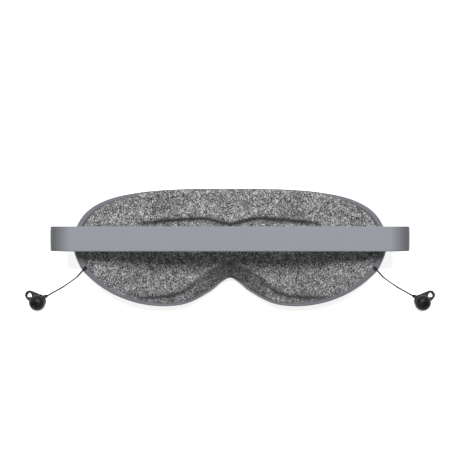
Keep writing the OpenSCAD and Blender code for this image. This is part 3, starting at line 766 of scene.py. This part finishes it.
def edge_rings(outer, n, t, radius, angles):
    """The rounded edge between the wall and the front, t below the surface."""
    rings = []
    for a in np.radians(angles):
        xy = outer - n * (t + radius * (1 - math.cos(a)))[:, None]
        z = COVER_C - np.sqrt((COVER_R - t) ** 2 - np.square(xy[:, 0]))
        rings.append(np.column_stack([xy, np.maximum(z, t) + radius * (1 - math.sin(a))]))
    return rings


def front_rings(last, angles, t):
    """The front, drawn in from its edge to a middle line."""
    middle = np.column_stack([0.8 * rim.reach * np.sin(angles), np.full(len(angles), 4.0)])
    rings = []
    for share in np.linspace(0, 1, 26)[1:]:
        xy = last + (middle - last) * share
        z = COVER_C - np.sqrt((COVER_R - t) ** 2 - np.square(xy[:, 0]))
        rings.append(np.column_stack([xy, np.maximum(z, t)]))
    return rings


def on_cover(phi, y, t):
    """A place at angle phi round the front cover, t below its surface, with Z pointing inwards."""
    return (Matrix.Translation((0, y, COVER_C)) @ Matrix.Rotation(-math.radians(phi), 4, "Y")
            @ Matrix.Translation((0, 0, t - COVER_R)))


def cutter(name, outline, z0, z1, place):
    """A prism that cuts an opening."""
    n = len(outline)
    points = [place @ Vector((x, y, z)) for z in (z0, z1) for x, y in outline]
    faces = [tuple(range(n)), tuple(range(2 * n - 1, n - 1, -1))]
    faces += [(i, (i + 1) % n, n + (i + 1) % n, n + i) for i in range(n)]
    return outward(add_mesh(name, points, faces, smooth=False))


def round_slot(width, length):
    """A slot with round ends along Y."""
    r, reach = width / 2, length / 2 - width / 2
    top = [(r * math.cos(a), reach + r * math.sin(a)) for a in np.linspace(0, math.pi, 16)]
    return top + [(-x, -y) for x, y in top]


def cut_openings(obj):
    """Cuts the strap slots, the panel's window and the port's mouth."""
    cutters = [cutter("panel_cut", round_slot(11.1, 36.1), -3, 3, on_cover(31, 7, 0))]
    slot = [(-2.6, -9), (9.4, -9), (9.4, 9), (-2.6, 9)]
    for side, k in SIDES:
        place = mirror_place(k) @ on_cover(ANCHOR_PHI, STRAP_Y, 0)
        cutters.append(cutter(f"slot_cut_{side}", slot, -4, 5, place))
    port = on_cover(20, 0, 7.9) @ Matrix.Rotation(math.radians(90), 4, "X")
    mouth = [(y, x) for x, y in round_slot(4, 9.8)]
    cutters.append(cutter("port_cut", mouth, 34, 50, port))
    for c in cutters:
        cut = obj.modifiers.new("cut", "BOOLEAN")
        cut.operation = "DIFFERENCE"
        cut.object = c
    done = bpy.data.meshes.new_from_object(obj.evaluated_get(bpy.context.evaluated_depsgraph_get()))
    obj.modifiers.clear()
    obj.data = done
    for c in cutters:
        bpy.data.objects.remove(c)


def make_cover():
    obj = outward(cover_shell(), weld=2e-5)
    cut_openings(obj)
    obj.data.materials.append(cover_leather())
    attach(obj, "mask")
    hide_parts("cover_skin")


# ---- The strap ----
def polar(phi, r):
    """A place in the XZ plane at angle phi round the cover's axis."""
    a = math.radians(phi)
    return np.array([r * math.sin(a), COVER_C - r * math.cos(a)])


RUN_PHI = 46.0           # where the straight side run starts, round the cover
RUN_R = COVER_R + 0.5 + STRAP_T / 2
RUN_L = 14.0
TURN_R = 16.0            # radius of the strap's turn at each side
RUN_START = polar(RUN_PHI, RUN_R)
RUN_DIR = np.array([math.cos(math.radians(RUN_PHI)), math.sin(math.radians(RUN_PHI))])
RUN_END = RUN_START + RUN_L * RUN_DIR
TURN_C = RUN_END + TURN_R * np.array([-RUN_DIR[1], RUN_DIR[0]])
PATCH_T = 0.7            # thickness of the hook and loop tapes
STRAP_STEP = 1.2         # spacing of the strap's rings


def bar_local(s, t):
    """A place near the right anchor bar: s along the cover, t below its surface."""
    a = math.radians(ANCHOR_PHI)
    return polar(ANCHOR_PHI, COVER_R - t) + s * np.array([math.cos(a), math.sin(a)])


def strap_half():
    """The strap's right half in the XZ plane, from the middle to the fold behind the bar."""
    top = TURN_C[1] + TURN_R
    x = np.linspace(0, TURN_C[0] - 4, 9)
    span = [(a, top - STRAP_SAG * (1 - (a / TURN_C[0]) ** 2)) for a in x]
    turn = [TURN_C + TURN_R * np.array([math.cos(a), math.sin(a)])
            for a in np.radians(np.linspace(88, -42, 15))]
    run = [RUN_START + s * RUN_L * RUN_DIR for s in (0.95, 0.6, 0.3, 0)]
    inside = [polar(45, RUN_R), polar(44.2, RUN_R), polar(43.2, COVER_R + 0.5), polar(42.2, COVER_R - 1.2),
              polar(41.3, COVER_R - 2.8), polar(40.6, COVER_R - 3.9)]
    loop_r = BAR_R + 0.05 + STRAP_T / 2
    fold = [bar_local(loop_r * math.cos(a), BAR_T + loop_r * math.sin(a))
            for a in np.radians(range(90, 271, 30))]
    return spline([*span, *turn, *run, *inside, *fold], 6)


def band(name, path, width, thick, crown=0.0):
    """A flat band along a path in the XZ plane, with rounded edges."""
    p = resample(path, STRAP_STEP)
    # One closed section: out and back over the width, with half-round edges
    u = np.linspace(-1, 1, 17)
    ends = np.radians([60, 30, 0, -30, -60])
    half, r = width / 2, thick / 2
    upper = [(w * (half - r), r + crown * (1 - w * w)) for w in u]
    right = [(half - r + r * math.cos(a), r * math.sin(a)) for a in ends]
    lower = [(w * (half - r), -r + crown * (1 - w * w)) for w in u[::-1]]
    left = [(-(half - r) - r * math.cos(a), -r * math.sin(a)) for a in ends]
    section = np.array([*upper, *right, *lower, *left])
    rows = []
    for q, o in zip(p, out_of(p)):
        rows.append([(q[0] + o[0] * h, STRAP_Y + w, q[1] + o[1] * h) for w, h in section])
    k = len(section)
    points = np.array(rows).reshape(-1, 3)
    faces = grid_faces(len(p), k, wrap_cols=True)
    faces += [tuple(range(k)), tuple((len(p) - 1) * k + i for i in reversed(range(k)))]
    return outward(add_mesh(name, points, faces))


def both_sides(points, k):
    """A right-hand line, put on side k."""
    p = np.array(points, float).copy()
    p[:, 0] *= k
    return p


def shifted(path, out):
    """A line in the XZ plane, moved sideways."""
    p = np.array(path, float)
    return p + out_of(p) * out


TAB_OUT = -(STRAP_T + 2 * PATCH_T + 0.3)


def run_points(stops):
    """Places along the straight side run, by share of its length."""
    return [RUN_START + s * RUN_L * RUN_DIR for s in stops]


def tab_path():
    root = bar_local(0.95, 0.95)
    near = [root, polar(41.4, COVER_R + 0.8), polar(42.6, COVER_R + 2.4), polar(44, COVER_R + 3.9),
            polar(45, RUN_R + 2.9)]
    return spline([*near, *shifted(run_points((0, 0.2, 0.4, 0.6, 0.8)), TAB_OUT)], 6)


def make_strap():
    webbing = elastic_webbing()
    half = strap_half()
    whole = np.vstack([both_sides(half[::-1], -1)[:-1], half])
    strap = band("webbing_strap", whole, STRAP_W, STRAP_T, crown=0.12)
    strap.data.materials.append(webbing)
    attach(strap, "mask")
    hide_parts("head_strap")
    loop_mat = pile("loop_pile", (0.19, 0.20, 0.22), 0.25)
    hook_mat = pile("hook_pile", (0.05, 0.05, 0.055), 0.3)
    for side, k in SIDES:
        tab = band(f"webbing_tab_{side}", both_sides(tab_path(), k), STRAP_W, STRAP_T)
        tab.data.materials.append(webbing)
        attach(tab, f"strap_tab_{side}")
        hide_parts(f"strap_tab_{side}")
        loops = band(f"loop_tape_{side}", both_sides(shifted(run_points((0.04, 0.3, 0.6, 0.84)),
                     -(STRAP_T + PATCH_T) / 2), k), STRAP_W - 3, PATCH_T)
        loops.data.materials.append(loop_mat)
        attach(loops, "mask")
        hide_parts(f"loop_patch_{side}")
        hooks = band(f"hook_tape_{side}", both_sides(shifted(run_points((0.04, 0.3, 0.5, 0.68)),
                     TAB_OUT + (STRAP_T + PATCH_T) / 2), k), STRAP_W - 3, PATCH_T)
        hooks.data.materials.append(hook_mat)
        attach(hooks, f"strap_tab_{side}")
        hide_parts(f"hook_patch_{side}")


# ---- Earbuds and cords ----
def turned(angle, axis):
    return Matrix.Rotation(math.radians(angle), 4, axis)


def bud_place(k):
    """The housing's own axes, on side k."""
    return mirror_place(k) @ Matrix.Translation((BUD[0], BUD[1], 0))


def nozzle_place(k):
    """The leaning nozzle's axes."""
    foot = bud_place(k) @ Matrix.Translation((0, 0, NOZZLE_Z))
    return foot @ turned(LEAN_WAY, "Z") @ turned(NOZZLE_LEAN, "Y")


def stub_place(k):
    """The cord stub's axes."""
    return bud_place(k) @ Matrix.Translation((-2.2, 2.6, 2.1)) @ turned(160, "Z") @ turned(90, "Y")


def make_tip(side, k, rubber):
    outline = spline([
        (2.3, 2.45), (2.6, 2.3), (2.9, 2.5), (2.95, 4.2), (3.2, 5.3), (4.0, 5.1), (4.8, 4.1), (5.2, 3.0),
        (5.45, 2.3), (5.8, 2.15), (6.08, 2.6), (6.1, 3.4), (5.9, 4.6), (5.3, 5.8), (4.4, 6.75), (3.4, 7.35),
        (2.6, 7.55), (2.1, 7.35), (1.95, 6.9), (2.1, 6.5), (2.3, 6.1), (2.28, 4.0), (2.3, 2.45),
    ], 4)[:-1]
    tip = revolve(f"silicone_tip_{side}", outline, nozzle_place(k))
    tip.data.materials.append(rubber)
    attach(tip, f"ear_tip_{side}")
    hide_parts(f"ear_tip_{side}")
    return tip


def make_housing(side, k, plastic, mesh_mat):
    body = rounded_profile([(0.6, 0.85), (BUD_R, 0.85), (BUD_R, 4.9), (BUD_R - 1.0, 5.8), (0.6, 5.8)],
                           [0.01, 0.18, 0.7, 0.7, 0.01])
    shell = revolve(f"shell_{side}", body, bud_place(k))
    neck = rounded_profile([(1.35, 0.2), (3.5, 0.2), (2.25, 1.9), (2.2, 5.6), (1.95, 6.0), (1.35, 6.0)],
                           [0.01, 0.1, 0.8, 0.3, 0.2, 0.1])
    nozzle = revolve(f"nozzle_{side}", neck, nozzle_place(k))
    stub = rounded_profile([(0.5, 0), (1.35, 0), (1.3, 2.6), (0.5, 2.6)], [0.01, 0.1, 0.15, 0.01])
    stub = revolve(f"stub_{side}", stub, stub_place(k), 40)
    housing = joined(f"earbud_shell_{side}", [shell, nozzle, stub])
    housing.data.materials.append(plastic)
    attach(housing, "mask")
    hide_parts(f"bud_housing_{side}")
    plate = rounded_profile([(0.05, 5.3), (1.4, 5.3), (1.4, 5.6), (0.05, 5.6)], 0.04)
    grille = revolve(f"nozzle_grille_{side}", plate, nozzle_place(k), 40)
    grille.data.materials.append(mesh_mat)
    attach(grille, "mask")
    return [housing, grille]


WING_LOOP_R = 3.6        # outside radius of the wing's loop
WING_RING_R = BUD_R + 0.85
WING_THICK = 0.86        # half the wing's thickness
WING_Z = 3.65


def wing_section(theta):
    """How far the wing's hole and its outer edge lie from the loop's centre, in one direction."""
    touch = math.acos((WING_RING_R - WING_LOOP_R) / WING_REACH)
    past = abs(theta) - touch
    outer = WING_LOOP_R
    if past >= 1.3:
        outer = 99
    elif past >= 0:
        # along the straight side between the loop and the ring
        outer = WING_LOOP_R / math.cos(past)
    # where this direction enters the ring round the housing
    sink = BUD_R + 0.45
    b = WING_REACH * math.cos(theta)
    c = WING_REACH**2 - sink**2
    if b * b > c and b < 0:
        outer = min(outer, -b - math.sqrt(b * b - c))
    hole = 1.62 + 0.22 * math.cos(3 * (theta - math.pi))
    return hole, min(outer, 7.0)


def make_wing(side, k, rubber):
    rows = []
    for theta in np.linspace(-math.pi, math.pi, 96, endpoint=False):
        hole, outer = wing_section(float(theta))
        r = min(WING_THICK, (outer - hole) / 2.05)
        arcs = [(outer - r, math.radians(a)) for a in np.linspace(-90, 90, 9)]
        arcs += [(hole + r, math.radians(a)) for a in np.linspace(90, 270, 9)]
        section = [(middle + r * math.cos(a), WING_THICK * math.sin(a)) for middle, a in arcs]
        rows.append([(WING_REACH + d * math.cos(theta), d * math.sin(theta), WING_Z + h)
                     for d, h in section])
    place = bud_place(k) @ turned(WING_WAY, "Z")
    points = [place @ Vector(p) for row in rows for p in row]
    loop = outward(add_mesh(f"loop_{side}", points, grid_faces(96, 18, wrap_rows=True, wrap_cols=True)))
    inner = BUD_R + 0.05
    ring = rounded_profile([(inner, 3.45), (WING_RING_R, 3.45), (WING_RING_R, 4.6), (inner, 4.6)],
                           [0.1, 0.4, 0.4, 0.1])
    sleeve = revolve(f"sleeve_{side}", ring, bud_place(k))
    wing = joined(f"silicone_wing_{side}", [loop, sleeve])
    wing.data.materials.append(rubber)
    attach(wing, f"ear_wing_{side}")
    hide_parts(f"ear_wing_{side}")
    return wing


def make_small_parts(side, k, rubber, plastic):
    boot = rounded_profile([(0.5, 1.1), (0.85, 1.1), (0.85, 2.62), (1.38, 2.62), (1.38, 3.2), (1.05, 3.3),
                            (0.78, 4.3), (0.5, 4.3)], [0.01, 0.05, 0.02, 0.12, 0.15, 0.1, 0.15, 0.01])
    boot = revolve(f"boot_{side}", boot, stub_place(k), 32)
    boot.data.materials.append(rubber)
    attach(boot, "mask")
    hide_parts(f"cord_boot_{side}")
    cap = rounded_profile([(0.05, 0), (BUD_R - 0.1, 0), (BUD_R, 0.8), (0.05, 0.8)], [0.01, 0.45, 0.1, 0.01])
    cap = revolve(f"back_cap_{side}", cap, bud_place(k))
    cap.data.materials.append(plastic)
    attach(cap, "mask")
    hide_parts(f"bud_cap_{side}")
    return [boot, cap]


def make_cords_and_buds():
    rubber = satin_rubber("cord_rubber", (0.010, 0.010, 0.011), 0.55)
    silicone = satin_rubber("tip_silicone", (0.008, 0.008, 0.009), 0.45)
    plastic = moulded("bud_plastic", (0.009, 0.009, 0.010), 0.35, 2400.0, 0.01)
    grille = metal("nozzle_mesh", (0.05, 0.05, 0.05), 0.4)
    for side, k in SIDES:
        route = spline([(k * x, y, z) for x, y, z in CORD_ROUTE], 8)
        flex = tube(f"earphone_cord_{side}", route, CORD_D / 2, 14)
        flex.data.materials.append(rubber)
        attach(flex, "mask")
        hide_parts(f"ear_cord_{side}")
        pieces = [make_tip(side, k, silicone), make_wing(side, k, silicone)]
        pieces += make_housing(side, k, plastic, grille)
        pieces += make_small_parts(side, k, rubber, plastic)


# ---- What stays as CAD made it ----
def dress_cad_nodes():
    """Gives every CAD node that still shows a material of its own slot."""
    slot_of = {s["node"]: s["material_slot"] for s in frame["record"]["subparts"]}
    mats = {
        "shell_plastic": moulded("shell_plastic", (0.045, 0.047, 0.052)),
        "frame_plastic": moulded("frame_plastic", (0.55, 0.55, 0.57)),
        "heater_film": etched_film(),
        "steel": metal("zinc_steel", (0.62, 0.62, 0.64)),
        "battery_foil": metal("battery_foil", (0.60, 0.62, 0.64), 0.4),
        "circuit_green": circuit(),
        "chip_black": moulded("chip_black", (0.02, 0.02, 0.022), 0.6),
        "panel_plastic": moulded("panel_plastic", (0.05, 0.052, 0.058), 0.5),
        "button_rubber": satin_rubber("button_rubber", (0.10, 0.103, 0.112), 0.55),
        "led_lens": light_pipe(),
        "motor_metal": metal("motor_nickel", (0.62, 0.62, 0.64), 0.28, (1, 0.1, 1)),
        "sleeve_rubber": satin_rubber("sleeve_rubber", (0.02, 0.02, 0.022), 0.6),
        "weight_metal": metal("weight_alloy", (0.40, 0.37, 0.32), 0.45),
        "wire_red": satin_rubber("wire_red", (0.30, 0.02, 0.015), 0.4),
        "cord_rubber": satin_rubber("gland_rubber", (0.010, 0.010, 0.011), 0.55),
        "driver_metal": metal("driver_plate", (0.55, 0.45, 0.25), 0.3),
    }
    for name, obj in frame["nodes"].items():
        slot = slot_of[name]
        if obj.hide_render or slot not in mats:
            continue
        obj.data.materials.clear()
        obj.data.materials.append(mats[slot])


make_camera()
make_cords_and_buds()
make_pad()
make_cover()
make_strap()
dress_cad_nodes()
make_studio()
